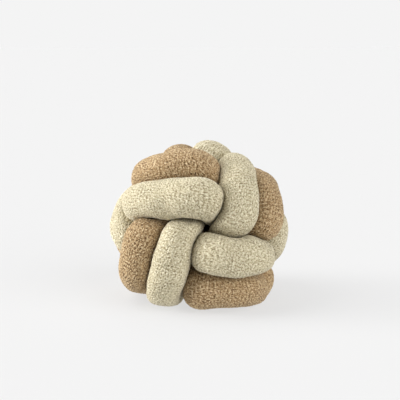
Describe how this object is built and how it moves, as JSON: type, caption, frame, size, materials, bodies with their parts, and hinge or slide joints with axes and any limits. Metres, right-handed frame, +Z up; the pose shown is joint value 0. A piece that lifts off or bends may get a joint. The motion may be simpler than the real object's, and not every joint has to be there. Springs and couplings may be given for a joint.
{
  "type": "knot cushion",
  "caption": "Ball-shaped knot cushion of stuffed cream and tan bouclé tubes woven side by side, sat on its flattened underside.",
  "frame": {"origin": "on the surface that the ball rests on, under the middle of the ball's box", "axes": "+Z up; the knot's front face, where the cream lengths lie inside the tan ones, looks toward -Y; +X to its right"},
  "size_m": [0.3, 0.2876, 0.2627],
  "materials": {
    "cream_boucle": "matt looped pile, warm cream",
    "tan_boucle": "matt looped pile, tan"
  },
  "bodies": {
    "root": {"cream_tube": "cream_boucle", "tan_tube": "tan_boucle"}
  },
  "joints": []
}
